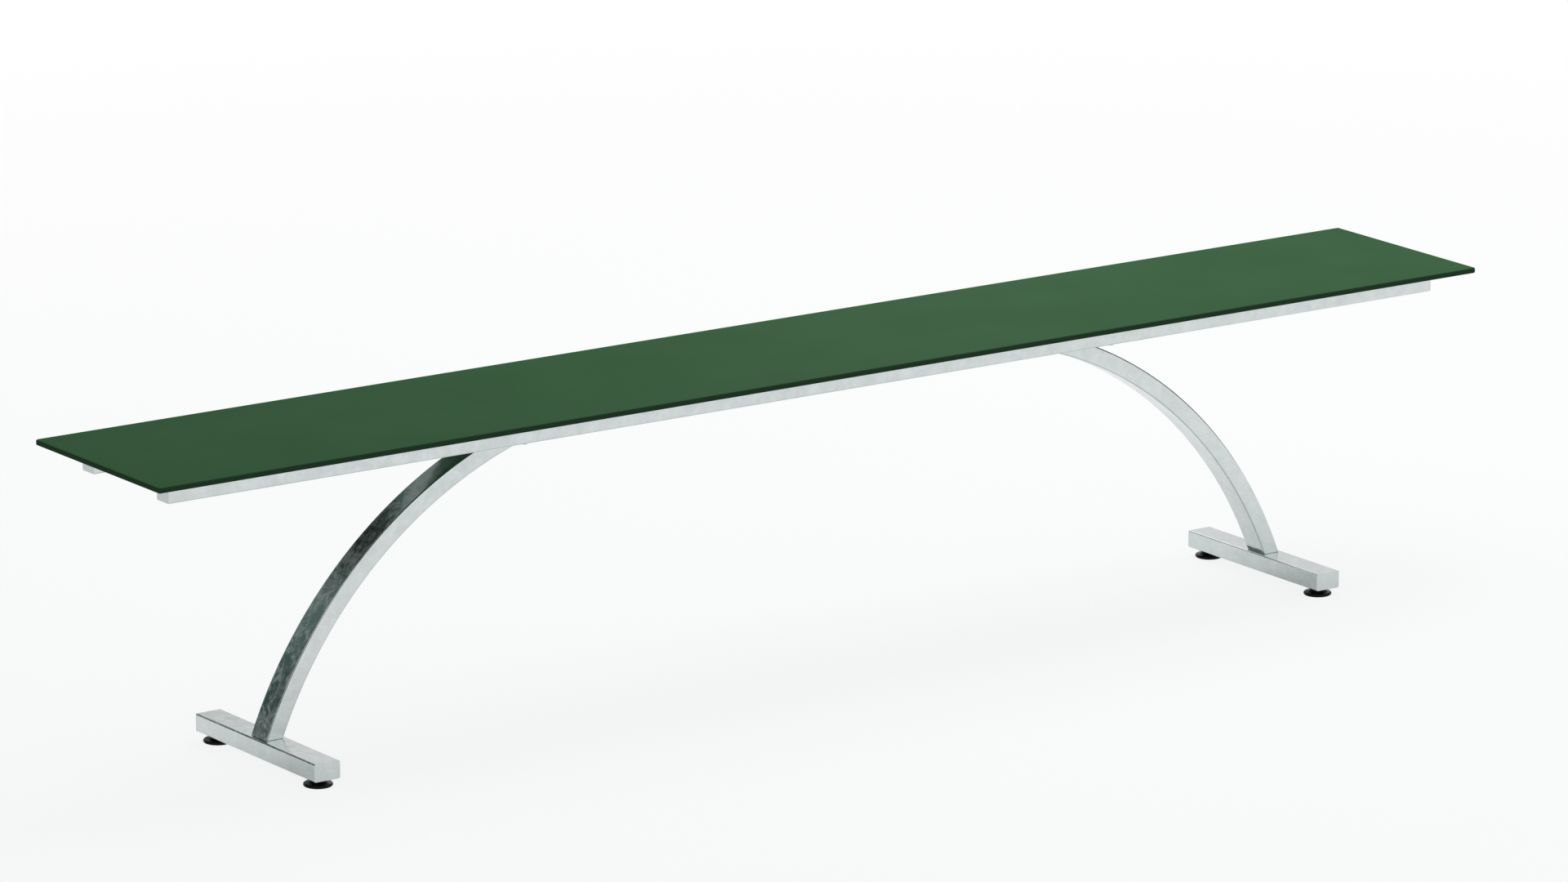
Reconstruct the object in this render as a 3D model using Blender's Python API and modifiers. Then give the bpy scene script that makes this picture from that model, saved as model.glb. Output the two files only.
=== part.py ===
"""Backless bench: a compact-laminate board on a welded, galvanised tube frame with four levelling glides.

Units are metres. X runs along the seat, Y across it and Z up. The origin is on the floor, under the middle of
the seat. Left is -X and front is -Y.
"""

import math

import bmesh
import bpy

# Seat board
SEAT_LENGTH = 2.190
SEAT_WIDTH = 0.316
SEAT_THICKNESS = 0.008
SEAT_HEIGHT = 0.450
SEAT_CORNER_RADIUS = 0.004
SEAT_EDGE_RADIUS = 0.0025

# Rails under the seat, and the cross tubes of the same stock between them
RAIL_SIZE = 0.030
RAIL_WALL = 0.002
RAIL_END_INSET = 0.0434
RAIL_SIDE_INSET = 0.0485
END_PLATE_THICKNESS = 0.002
TUBE_CORNER_RADIUS = 0.0025

# Legs: one arc each, level at the rails and standing on the middle of a foot bar
LEG_WIDTH = 0.040
LEG_DEPTH = 0.025
LEG_WALL = 0.002
LEG_BEND_RADIUS = 0.622

# Foot bars
FOOT_END_INSET = 0.255
FOOT_BAR_LENGTH = 0.300
FOOT_BAR_WIDTH = 0.040
FOOT_BAR_DEPTH = 0.025
FOOT_BAR_WALL = 0.002
FOOT_VENT_DIAMETER = 0.012

# Levelling glides: a pad, and a stud that turns in the pad and in a nut welded inside the foot bar
GLIDE_END_INSET = 0.0235
PAD_DIAMETER = 0.040
PAD_HEIGHT = 0.0098
PAD_RIM_HEIGHT = 0.0048
PAD_SOLE_THICKNESS = 0.003
PAD_HUB_DIAMETER = 0.021
STUD_DIAMETER = 0.008
STUD_HEADROOM = 0.001
STUD_TIP_CHAMFER = 0.001
COLLAR_ACROSS_FLATS = 0.013
COLLAR_HEIGHT = 0.0019
NUT_ACROSS_FLATS = 0.013
NUT_HEIGHT = 0.0065

# Seat fixings: bolts with their heads under the rails, and screws with their heads inside them
FIXING_END_INSET = 0.072
FIXING_COVER = 0.003
BOLT_DIAMETER = 0.006
BOLT_HEAD_DIAMETER = 0.0105
BOLT_HEAD_HEIGHT = 0.0025
BOLT_FLANGE_DIAMETER = 0.014
BOLT_FLANGE_THICKNESS = 0.0012
SCREW_DIAMETER = 0.005
SCREW_HEAD_DIAMETER = 0.010
SCREW_HEAD_HEIGHT = 0.0035
SCREW_ACCESS_CLEARANCE = 0.002
FASTENER_TIP_CHAMFER = 0.0004

# Clearances
SEAM_GAP = 0.0003
RUNNING_CLEARANCE = 0.0003
HOLE_CLEARANCE = 0.0003

# Fineness of the round shapes
CORNER_STEPS = 3
EDGE_STEPS = 3
LEG_STEPS = 24
PAD_STEPS = 28
PAD_FLARE_STEPS = 5
PAD_RIM_STEPS = 6
SHAFT_STEPS = 20
FASTENER_STEPS = 16
HEAD_CURVE_STEPS = 3
SMOOTH_ANGLE = math.radians(40)
MERGE_DISTANCE = 1e-6

# Levels and places that follow from the sizes above
SEAT_UNDERSIDE = SEAT_HEIGHT - SEAT_THICKNESS
RAIL_TOP = SEAT_UNDERSIDE - SEAM_GAP
RAIL_BOTTOM = RAIL_TOP - RAIL_SIZE
RAIL_CENTRE_Z = RAIL_TOP - RAIL_SIZE / 2
RAIL_CENTRE_Y = SEAT_WIDTH / 2 - RAIL_SIDE_INSET - RAIL_SIZE / 2
RAIL_END_X = SEAT_LENGTH / 2 - RAIL_END_INSET
RAIL_LENGTH = 2 * (RAIL_END_X - END_PLATE_THICKNESS - SEAM_GAP)
CROSS_TUBE_LENGTH = 2 * (RAIL_CENTRE_Y - RAIL_SIZE / 2 - SEAM_GAP)

FOOT_X = SEAT_LENGTH / 2 - FOOT_END_INSET
FOOT_BOTTOM = PAD_HEIGHT + RUNNING_CLEARANCE + COLLAR_HEIGHT + RUNNING_CLEARANCE
FOOT_TOP = FOOT_BOTTOM + FOOT_BAR_DEPTH
FOOT_TUBE_LENGTH = FOOT_BAR_LENGTH - 2 * (END_PLATE_THICKNESS + SEAM_GAP)
GLIDE_Y = FOOT_BAR_LENGTH / 2 - GLIDE_END_INSET

LEG_OUTER_RADIUS = LEG_BEND_RADIUS + LEG_DEPTH / 2
LEG_CENTRE_Z = RAIL_TOP - LEG_OUTER_RADIUS
LEG_FOOT_Z = FOOT_TOP + SEAM_GAP
LEG_FOOT_RISE = LEG_FOOT_Z - LEG_CENTRE_Z
LEG_CENTRE_X = FOOT_X - math.sqrt(LEG_BEND_RADIUS**2 - LEG_FOOT_RISE**2)
LEG_SWEEP = math.acos(LEG_FOOT_RISE / LEG_BEND_RADIUS)
LEG_TRIM_ANGLE = LEG_DEPTH / LEG_BEND_RADIUS

# The inner cross tube closes the leg's level end, and the outer one sits on its back just below the rails
INNER_CROSS_X = LEG_CENTRE_X - SEAM_GAP - RAIL_SIZE / 2
LEG_BACK_RISE = RAIL_BOTTOM - SEAM_GAP - LEG_CENTRE_Z
OUTER_CROSS_X = LEG_CENTRE_X + math.sqrt(LEG_OUTER_RADIUS**2 - LEG_BACK_RISE**2) + RAIL_SIZE / 2

FIXING_END_X = RAIL_END_X - FIXING_END_INSET
FIXING_TIP_Z = SEAT_HEIGHT - FIXING_COVER
BOLT_X = FIXING_END_X / 2

SIDES = (("left", -1), ("right", 1))
ROWS = (("front", -1), ("back", 1))
SCREW_PLACES = (("left", -1), ("middle", 0), ("right", 1))

ALONG_X = (0, math.pi / 2, 0)
ALONG_Y = (math.pi / 2, 0, 0)
UPRIGHT = (0, 0, 0)


def clear_scene():
    for old in list(bpy.data.objects):
        bpy.data.objects.remove(old, do_unlink=True)


def new_collection(name):
    collection = bpy.data.collections.new(name)
    bpy.context.scene.collection.children.link(collection)
    return collection


def make_material(name, colour, metallic, roughness):
    material = bpy.data.materials.new(name)
    material.use_nodes = True
    shader = material.node_tree.nodes["Principled BSDF"]
    shader.inputs["Base Color"].default_value = (*colour, 1)
    shader.inputs["Metallic"].default_value = metallic
    shader.inputs["Roughness"].default_value = roughness
    material.diffuse_color = (*colour, 1)
    return material


clear_scene()
PARTS = new_collection("backless_bench")
CUTTERS = new_collection("cutters")
LAMINATE = make_material("green_laminate", (0.048, 0.122, 0.054), 0.0, 0.45)
GALVANISED = make_material("galvanised_steel", (0.62, 0.64, 0.64), 0.9, 0.42)
BLACK_PLASTIC = make_material("black_plastic", (0.012, 0.012, 0.012), 0.0, 0.4)
ZINC_STEEL = make_material("zinc_plated_steel", (0.55, 0.56, 0.58), 1.0, 0.35)


def rounded_rectangle(width, depth, radius):
    """Outline of a rectangle with round corners, centred on the origin, anticlockwise."""
    points = []
    for corner, (side_x, side_y) in enumerate(((1, 1), (-1, 1), (-1, -1), (1, -1))):
        for step in range(CORNER_STEPS + 1):
            angle = math.pi / 2 * (corner + step / CORNER_STEPS)
            x = side_x * (width / 2 - radius) + radius * math.cos(angle)
            y = side_y * (depth / 2 - radius) + radius * math.sin(angle)
            points.append((x, y))
    return points


def regular_polygon(radius, sides):
    turns = [2 * math.pi * side / sides for side in range(sides)]
    return [(radius * math.cos(turn), radius * math.sin(turn)) for turn in turns]


def hexagon(across_flats):
    return regular_polygon(across_flats / math.sqrt(3), 6)


def tube_corner(wall):
    """Outer corner radius of a tube, which is never tighter than its wall."""
    return max(TUBE_CORNER_RADIUS, wall + SEAM_GAP)


def tube_section(width, depth, wall):
    """Outer and inner outline of a rectangular tube."""
    corner = tube_corner(wall)
    outer = rounded_rectangle(width, depth, corner)
    inner = rounded_rectangle(width - 2 * wall, depth - 2 * wall, corner - wall)
    return [outer, inner]


def add_object(name, mesh, material, location, rotation=UPRIGHT):
    piece = bpy.data.objects.new(name, mesh)
    PARTS.objects.link(piece)
    piece.location = location
    piece.rotation_euler = rotation
    mesh.materials.append(material)
    return piece


def smooth(mesh):
    mesh.shade_smooth()
    mesh.set_sharp_from_angle(angle=SMOOTH_ANGLE)


def extruded(name, outlines, length, material, location, rotation=UPRIGHT):
    """A flat shape (a rim, then its holes) drawn out along its own Z, half of the length each way."""
    curve = bpy.data.curves.new(name, "CURVE")
    curve.dimensions = "2D"
    curve.fill_mode = "BOTH"
    curve.extrude = length / 2
    for outline in outlines:
        spline = curve.splines.new("POLY")
        spline.points.add(len(outline) - 1)
        for point, (x, y) in zip(spline.points, outline):
            point.co = (x, y, 0, 1)
        spline.use_cyclic_u = True
    drawn = bpy.data.objects.new(name + "_curve", curve)
    PARTS.objects.link(drawn)
    graph = bpy.context.evaluated_depsgraph_get()
    mesh = bpy.data.meshes.new_from_object(drawn.evaluated_get(graph))
    bpy.data.objects.remove(drawn, do_unlink=True)
    mesh.name = name
    shape = bmesh.new()
    shape.from_mesh(mesh)
    bmesh.ops.remove_doubles(shape, verts=shape.verts, dist=MERGE_DISTANCE)
    bmesh.ops.recalc_face_normals(shape, faces=shape.faces)
    shape.to_mesh(mesh)
    shape.free()
    smooth(mesh)
    return add_object(name, mesh, material, location, rotation)


def profile_mesh(name, points, closed=False):
    edges = [(i, i + 1) for i in range(len(points) - 1)]
    if closed:
        edges.append((len(points) - 1, 0))
    mesh = bpy.data.meshes.new(name)
    mesh.from_pydata(points, edges, [])
    return mesh


def add_screw(piece, axis, angle, steps, merge):
    screw = piece.modifiers.new("turn", "SCREW")
    screw.axis = axis
    screw.angle = angle
    screw.steps = steps
    screw.render_steps = steps
    screw.use_merge_vertices = merge
    screw.merge_threshold = MERGE_DISTANCE
    screw.use_smooth_shade = True
    return screw


def turned(name, profile, steps, material, location):
    """A profile of (radius, height) points, from the top down its outer side, turned about its own Z."""
    mesh = profile_mesh(name, [(radius, 0, height) for radius, height in profile])
    piece = add_object(name, mesh, material, location)
    add_screw(piece, "Z", 2 * math.pi, steps, merge=True)
    return piece


def add_cutter(name, holes):
    """One hidden object of upright cylinders, each given by its place, radius, bottom and top."""
    shape = bmesh.new()
    for x, y, radius, bottom, top in holes:
        made = bmesh.ops.create_cone(
            shape, cap_ends=True, segments=FASTENER_STEPS, radius1=radius, radius2=radius, depth=top - bottom
        )
        bmesh.ops.translate(shape, verts=made["verts"], vec=(x, y, (bottom + top) / 2))
    mesh = bpy.data.meshes.new(name)
    shape.to_mesh(mesh)
    shape.free()
    return hide_cutter(bpy.data.objects.new(name, mesh))


def hide_cutter(tool):
    CUTTERS.objects.link(tool)
    tool.hide_render = True
    tool.display_type = "WIRE"
    return tool


def combine(piece, tool, operation="DIFFERENCE"):
    boolean = piece.modifiers.new(tool.name, "BOOLEAN")
    boolean.operation = operation
    boolean.solver = "EXACT"
    boolean.object = tool


def build_seat_board():
    outline = rounded_rectangle(SEAT_LENGTH, SEAT_WIDTH, SEAT_CORNER_RADIUS)
    centre_z = SEAT_HEIGHT - SEAT_THICKNESS / 2
    board = extruded("seat_board", [outline], SEAT_THICKNESS, LAMINATE, (0, 0, centre_z))
    bevel = board.modifiers.new("rounded_edges", "BEVEL")
    bevel.width = min(SEAT_EDGE_RADIUS, 0.45 * SEAT_THICKNESS, 0.9 * SEAT_CORNER_RADIUS)
    bevel.segments = EDGE_STEPS
    bevel.limit_method = "ANGLE"
    bevel.angle_limit = math.radians(60)
    holes = []
    mouth = SEAT_UNDERSIDE - SEAT_THICKNESS
    for _, row in ROWS:
        for x, shank_radius, _ in fixing_holes():
            holes.append((x, row * RAIL_CENTRE_Y, shank_radius, mouth, FIXING_TIP_Z + HOLE_CLEARANCE))
    combine(board, add_cutter("seat_fixing_holes", holes))


def fixing_holes():
    """Each fixing of one rail: its place, the radius of its shank hole and of the hole in the lower wall."""
    screw_radius = SCREW_DIAMETER / 2 + HOLE_CLEARANCE
    access_radius = SCREW_HEAD_DIAMETER / 2 + SCREW_ACCESS_CLEARANCE
    bolt_radius = BOLT_DIAMETER / 2 + HOLE_CLEARANCE
    screws = [(place * FIXING_END_X, screw_radius, access_radius) for _, place in SCREW_PLACES]
    bolts = [(side * BOLT_X, bolt_radius, bolt_radius) for _, side in SIDES]
    return screws + bolts


def rail_holes(y):
    """Shank holes in the rail's upper wall, and shank or screw head holes in its lower wall."""
    upper = (RAIL_TOP - 2 * RAIL_WALL, RAIL_TOP + RAIL_WALL)
    lower = (RAIL_BOTTOM - RAIL_WALL, RAIL_BOTTOM + 2 * RAIL_WALL)
    holes = []
    for x, shank_radius, below_radius in fixing_holes():
        holes.append((x, y, shank_radius, *upper))
        holes.append((x, y, below_radius, *lower))
    return holes


def build_rails():
    section = tube_section(RAIL_SIZE, RAIL_SIZE, RAIL_WALL)
    plate = [rounded_rectangle(RAIL_SIZE, RAIL_SIZE, tube_corner(RAIL_WALL))]
    plate_x = RAIL_END_X - END_PLATE_THICKNESS / 2
    for row_name, row in ROWS:
        y = row * RAIL_CENTRE_Y
        rail_name = row_name + "_rail"
        rail = extruded(rail_name, section, RAIL_LENGTH, GALVANISED, (0, y, RAIL_CENTRE_Z), ALONG_X)
        combine(rail, add_cutter(rail_name + "_holes", rail_holes(y)))
        for side_name, side in SIDES:
            plate_name = f"{rail_name}_{side_name}_end_plate"
            place = (side * plate_x, y, RAIL_CENTRE_Z)
            extruded(plate_name, plate, END_PLATE_THICKNESS, GALVANISED, place, ALONG_X)


def build_cross_tubes():
    section = tube_section(RAIL_SIZE, RAIL_SIZE, RAIL_WALL)
    for side_name, side in SIDES:
        for place_name, x in (("inner", INNER_CROSS_X), ("outer", OUTER_CROSS_X)):
            name = f"{side_name}_{place_name}_cross_tube"
            extruded(name, section, CROSS_TUBE_LENGTH, GALVANISED, (side * x, 0, RAIL_CENTRE_Z), ALONG_Y)


def build_legs():
    """A tube section swept round the arc's centre, walled inwards and trimmed level on the foot bar."""
    outline = rounded_rectangle(LEG_WIDTH, LEG_DEPTH, tube_corner(LEG_WALL))
    section = [(0, across, LEG_BEND_RADIUS + out) for across, out in outline]
    for side_name, side in SIDES:
        mesh = profile_mesh(side_name + "_leg", section, closed=True)
        turn = 0 if side > 0 else math.pi
        place = (side * LEG_CENTRE_X, 0, LEG_CENTRE_Z)
        leg = add_object(side_name + "_leg", mesh, GALVANISED, place, (0, 0, turn))
        add_screw(leg, "Y", LEG_SWEEP + LEG_TRIM_ANGLE, LEG_STEPS, merge=False)
        wall = leg.modifiers.new("wall", "SOLIDIFY")
        wall.thickness = LEG_WALL
        wall.offset = -1
        wall.use_even_offset = True
        combine(leg, leg_trim(side_name, side))


def leg_trim(side_name, side):
    shape = bmesh.new()
    bmesh.ops.create_cube(shape, size=1)
    reach = LEG_DEPTH * 4
    bmesh.ops.scale(shape, verts=shape.verts, vec=(reach * 2, LEG_WIDTH * 2, reach))
    bmesh.ops.translate(shape, verts=shape.verts, vec=(side * FOOT_X, 0, LEG_FOOT_Z - reach / 2))
    mesh = bpy.data.meshes.new(side_name + "_leg_trim")
    shape.to_mesh(mesh)
    shape.free()
    return hide_cutter(bpy.data.objects.new(mesh.name, mesh))


def build_foot_bars():
    section = tube_section(FOOT_BAR_WIDTH, FOOT_BAR_DEPTH, FOOT_BAR_WALL)
    plate = [rounded_rectangle(FOOT_BAR_WIDTH, FOOT_BAR_DEPTH, tube_corner(FOOT_BAR_WALL))]
    plate_y = (FOOT_BAR_LENGTH - END_PLATE_THICKNESS) / 2
    centre_z = FOOT_BOTTOM + FOOT_BAR_DEPTH / 2
    stud_hole_radius = STUD_DIAMETER / 2 + RUNNING_CLEARANCE
    upper = (FOOT_TOP - 2 * FOOT_BAR_WALL, FOOT_TOP + FOOT_BAR_WALL)
    lower = (FOOT_BOTTOM - FOOT_BAR_WALL, FOOT_BOTTOM + 2 * FOOT_BAR_WALL)
    for side_name, side in SIDES:
        x = side * FOOT_X
        bar_name = side_name + "_foot_bar"
        bar = extruded(bar_name, section, FOOT_TUBE_LENGTH, GALVANISED, (x, 0, centre_z), ALONG_Y)
        holes = [(x, 0, FOOT_VENT_DIAMETER / 2, *upper)]
        for row_name, row in ROWS:
            holes.append((x, row * GLIDE_Y, stud_hole_radius, *lower))
            plate_name = f"{bar_name}_{row_name}_end_plate"
            place = (x, row * plate_y, centre_z)
            extruded(plate_name, plate, END_PLATE_THICKNESS, GALVANISED, place, ALONG_Y)
        combine(bar, add_cutter(bar_name + "_holes", holes))


def pad_profile():
    """Socket, hub, a concave flare down to the rim, the round rim, and the flat sole."""
    rim = PAD_DIAMETER / 2
    hub = PAD_HUB_DIAMETER / 2
    socket = STUD_DIAMETER / 2 + RUNNING_CLEARANCE
    rim_round = PAD_RIM_HEIGHT / 2
    flare_width = rim - rim_round - hub
    flare_height = PAD_HEIGHT - PAD_RIM_HEIGHT
    points = [(0, PAD_SOLE_THICKNESS), (socket, PAD_SOLE_THICKNESS), (socket, PAD_HEIGHT)]
    for step in range(PAD_FLARE_STEPS + 1):
        turn = math.pi / 2 * step / PAD_FLARE_STEPS
        radius = hub + flare_width * (1 - math.cos(turn))
        points.append((radius, PAD_RIM_HEIGHT + flare_height * (1 - math.sin(turn))))
    for step in range(1, PAD_RIM_STEPS + 1):
        turn = math.pi * step / PAD_RIM_STEPS
        points.append((rim - rim_round + rim_round * math.sin(turn), rim_round * (1 + math.cos(turn))))
    points.append((0, 0))
    return points


def build_glide(name, x, y):
    turned(name + "_glide_pad", pad_profile(), PAD_STEPS, BLACK_PLASTIC, (x, y, 0))
    build_stud(name, x, y)
    nut_z = FOOT_BOTTOM + FOOT_BAR_WALL + SEAM_GAP + NUT_HEIGHT / 2
    bore = regular_polygon(STUD_DIAMETER / 2 + RUNNING_CLEARANCE, SHAFT_STEPS)
    nut_outlines = [hexagon(NUT_ACROSS_FLATS), bore]
    extruded(name + "_weld_nut", nut_outlines, NUT_HEIGHT, GALVANISED, (x, y, nut_z))


def build_stud(name, x, y):
    """A plain shank from the pad's socket to the top of the foot bar, with a spanner collar under the bar."""
    radius = STUD_DIAMETER / 2
    bottom = PAD_SOLE_THICKNESS + RUNNING_CLEARANCE
    top = FOOT_TOP - FOOT_BAR_WALL - STUD_HEADROOM
    profile = [
        (0, top),
        (radius - STUD_TIP_CHAMFER, top),
        (radius, top - STUD_TIP_CHAMFER),
        (radius, bottom),
        (0, bottom),
    ]
    stud = turned(name + "_glide_stud", profile, SHAFT_STEPS, ZINC_STEEL, (x, y, 0))
    collar_z = PAD_HEIGHT + RUNNING_CLEARANCE + COLLAR_HEIGHT / 2
    outline = [hexagon(COLLAR_ACROSS_FLATS)]
    collar = extruded(name + "_collar", outline, COLLAR_HEIGHT, ZINC_STEEL, (x, y, collar_z))
    PARTS.objects.unlink(collar)
    combine(stud, hide_cutter(collar), "UNION")


def shank_profile(diameter, seat):
    """Upper part of a fastener's profile: from the tip in the board down to the seat of its head."""
    radius = diameter / 2
    return [
        (0, FIXING_TIP_Z),
        (radius - FASTENER_TIP_CHAMFER, FIXING_TIP_Z),
        (radius, FIXING_TIP_Z - FASTENER_TIP_CHAMFER),
        (radius, seat),
    ]


def head_profile(diameter, height, seat):
    """Lower part of a fastener's profile: a domed head that hangs from its seat."""
    rim = diameter / 2
    crown = rim / 2
    points = [(rim, seat)]
    for step in range(1, HEAD_CURVE_STEPS + 1):
        turn = math.pi / 2 * step / HEAD_CURVE_STEPS
        points.append((crown + (rim - crown) * math.cos(turn), seat - height * math.sin(turn)))
    return points + [(0, seat - height)]


def build_seat_bolts():
    seat = RAIL_BOTTOM - SEAM_GAP
    flange_radius = BOLT_FLANGE_DIAMETER / 2
    flange_under = seat - BOLT_FLANGE_THICKNESS
    profile = shank_profile(BOLT_DIAMETER, seat)
    profile += [(flange_radius, seat), (flange_radius, flange_under)]
    profile += head_profile(BOLT_HEAD_DIAMETER, BOLT_HEAD_HEIGHT, flange_under)
    for row_name, row in ROWS:
        for side_name, side in SIDES:
            place = (side * BOLT_X, row * RAIL_CENTRE_Y, 0)
            turned(f"{row_name}_{side_name}_seat_bolt", profile, FASTENER_STEPS, ZINC_STEEL, place)


def build_seat_screws():
    seat = RAIL_TOP - RAIL_WALL - SEAM_GAP
    profile = shank_profile(SCREW_DIAMETER, seat)
    profile += head_profile(SCREW_HEAD_DIAMETER, SCREW_HEAD_HEIGHT, seat)
    for row_name, row in ROWS:
        for place_name, place in SCREW_PLACES:
            location = (place * FIXING_END_X, row * RAIL_CENTRE_Y, 0)
            turned(f"{row_name}_{place_name}_seat_screw", profile, FASTENER_STEPS, ZINC_STEEL, location)


def build_bench():
    build_seat_board()
    build_rails()
    build_cross_tubes()
    build_legs()
    build_foot_bars()
    for side_name, side in SIDES:
        for row_name, row in ROWS:
            build_glide(f"{side_name}_{row_name}", side * FOOT_X, row * GLIDE_Y)
    build_seat_bolts()
    build_seat_screws()


build_bench()
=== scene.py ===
import math

import bpy
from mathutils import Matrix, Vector


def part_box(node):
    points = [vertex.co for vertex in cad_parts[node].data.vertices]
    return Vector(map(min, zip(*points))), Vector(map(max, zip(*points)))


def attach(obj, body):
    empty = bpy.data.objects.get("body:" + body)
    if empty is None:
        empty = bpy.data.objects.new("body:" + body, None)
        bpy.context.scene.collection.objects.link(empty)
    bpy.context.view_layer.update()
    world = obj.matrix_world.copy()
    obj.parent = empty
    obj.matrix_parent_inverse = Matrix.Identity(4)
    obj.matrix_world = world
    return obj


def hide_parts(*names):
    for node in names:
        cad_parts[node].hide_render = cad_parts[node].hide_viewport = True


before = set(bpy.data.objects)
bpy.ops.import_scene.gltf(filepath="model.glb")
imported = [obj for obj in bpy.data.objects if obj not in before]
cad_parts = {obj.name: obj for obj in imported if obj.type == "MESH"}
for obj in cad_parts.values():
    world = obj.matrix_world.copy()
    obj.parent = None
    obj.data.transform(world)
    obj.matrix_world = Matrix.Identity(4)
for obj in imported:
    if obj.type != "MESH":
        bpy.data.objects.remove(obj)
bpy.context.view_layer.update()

# Sizes that the CAD boxes don't give, in metres. Holes and round pieces are given by their radius.

BOARD_CORNER = 0.004
BOARD_EDGE = 0.0025
# Heights above and below the board's middle, between which the painted shade on the cut edges goes
# over into the face's green
BOARD_EDGE_SHADE = 0.0031
BOARD_FACE = 0.0037

TUBE_CORNER = 0.0025
TUBE_WALL = 0.002
PLATE_EDGE = 0.0004
LEG_WIDTH = 0.040
LEG_DEPTH = 0.025
LEG_BEND = 0.622
LEG_SEAM = 0.0008

STUD_HOLE = 0.0043
VENT_HOLE = 0.006
SCREW_HOLE = 0.0028
BOLT_HOLE = 0.0033
ACCESS_HOLE = 0.007
# How far a drill bit reaches beyond a tube's outer face to either side, and below the board
BIT_INSIDE = 0.006
BIT_OUTSIDE = 0.004
BIT_BELOW_BOARD = 0.005

PAD_HUB = 0.0105
PAD_HUB_EDGE = 0.0003
PAD_BEAD = 0.0024
PAD_SOCKET = 0.0043
PAD_SOCKET_MOUTH = 0.0006
PAD_SOCKET_FLOOR = 0.003
# Radius and height of the shallow hollow in the sole, out to its rim
PAD_HOLLOW = [(0.0120, 0.0006), (0.0126, 0.0005), (0.0131, 0.0001), (0.0134, 0)]

STUD_RADIUS = 0.004
STUD_TIP = 0.0005
STUD_LAP = 0.0003
THREAD_PITCH = 0.00125
THREAD_DEPTH = 0.0007
COLLAR_CORNER = 0.0075
COLLAR_END = 0.0068
COLLAR_EDGE = 0.0003

SHANK_PLAY = 0.0003
FIXING_TIP = 0.0004
BOLT_SHANK = 0.003
BOLT_HEAD = 0.00525
BOLT_HEAD_HEIGHT = 0.0025
FLANGE = 0.007
FLANGE_LIP = 0.0003
FLANGE_HEEL = 0.0002
SCREW_SHANK = 0.0025
SCREW_HEAD = 0.005
SCREW_HEAD_HEIGHT = 0.0035
# The flat crown of a button head, as a share of the head
CROWN_SHARE = 0.55
SOCKET = 0.0023
SOCKET_LEAD = 0.001
BOLT_SOCKET_DEPTH = 0.0021
SCREW_SOCKET_DEPTH = 0.002

# How finely round shapes are divided
CORNER_STEPS = 6
LEG_STEPS = 120
PAD_STEPS = 12
DOME_STEPS = 6
THREAD_STEPS = 24
PAD_SIDES = 64
ROUND_SIDES = 32
HEXAGON = 6

# Differences below which points count as level with each other, and as touching a plane
LEVEL = 0.001
TOUCH = 0.00001
# The share of a face's normal on an axis, above which the face counts as square to it
SQUARE = 0.9

SIDES = (("left", -1), ("right", 1))
ROWS = (("front", -1), ("back", 1))
SCREW_PLACES = (("left", -1), ("middle", 0), ("right", 1))
X, Y, Z = 0, 1, 2


# Handling of pieces


def put_down():
    """Leave edit mode and let go of everything."""
    held = bpy.context.view_layer.objects.active
    if held and held.mode != "OBJECT":
        bpy.ops.object.mode_set(mode="OBJECT")
    bpy.ops.object.select_all(action="DESELECT")


def take(piece):
    put_down()
    piece.select_set(True)
    bpy.context.view_layer.objects.active = piece


def set_place(piece):
    """Put a piece's place, turn and size into its mesh."""
    take(piece)
    bpy.ops.object.transform_apply(location=True, rotation=True, scale=True)


def pick_nothing(piece, mode):
    """Take a piece with the kind of pick set and nothing picked yet."""
    take(piece)
    bpy.ops.object.mode_set(mode="EDIT")
    bpy.ops.mesh.select_mode(type=mode)
    bpy.ops.mesh.select_all(action="DESELECT")
    bpy.ops.object.mode_set(mode="OBJECT")


def edit_all(piece):
    take(piece)
    bpy.ops.object.mode_set(mode="EDIT")
    bpy.ops.mesh.select_mode(type="VERT")
    bpy.ops.mesh.select_all(action="SELECT")


def edit_points(piece, wanted):
    """Edit mode, with the points picked that the test accepts."""
    pick_nothing(piece, "VERT")
    for point in piece.data.vertices:
        point.select = wanted(point.co)
    bpy.ops.object.mode_set(mode="EDIT")


def edit_edges(piece, wanted):
    """Edit mode, with the edges picked whose two ends the test accepts."""
    pick_nothing(piece, "EDGE")
    points = piece.data.vertices
    for edge in piece.data.edges:
        start, end = edge.vertices
        edge.select = wanted(points[start].co, points[end].co)
    bpy.ops.object.mode_set(mode="EDIT")


def edit_faces(piece, wanted):
    """Edit mode, with the faces picked whose normal the test accepts."""
    pick_nothing(piece, "FACE")
    for face in piece.data.polygons:
        face.select = wanted(face.normal)
    bpy.ops.object.mode_set(mode="EDIT")


def runs_along(axis):
    """A test for edges that run along an axis."""
    return lambda start, end: abs(start[axis] - end[axis]) > LEVEL


def runs_across(axis):
    """A test for edges that stay level on an axis."""
    return lambda start, end: abs(start[axis] - end[axis]) < LEVEL


def looks_along(axis):
    """A test for faces square to an axis."""
    return lambda normal: abs(normal[axis]) > SQUARE


def lies_at(axis, level):
    """A test for edges in the plane across an axis at one level."""
    return lambda start, end: max(abs(start[axis] - level), abs(end[axis] - level)) < TOUCH


def name_new(name):
    piece = bpy.context.view_layer.objects.active
    piece.name = name
    piece.data.name = name
    return piece


def apply_modifier(piece, kind, **settings):
    modifier = piece.modifiers.new(kind.lower(), kind)
    for setting, value in settings.items():
        setattr(modifier, setting, value)
    take(piece)
    bpy.ops.object.modifier_apply(modifier=modifier.name)


def give_wall(piece):
    """Turn a bare tube skin into a tube with its wall inside."""
    apply_modifier(piece, "SOLIDIFY", thickness=TUBE_WALL, offset=-1, use_even_offset=True)


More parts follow.
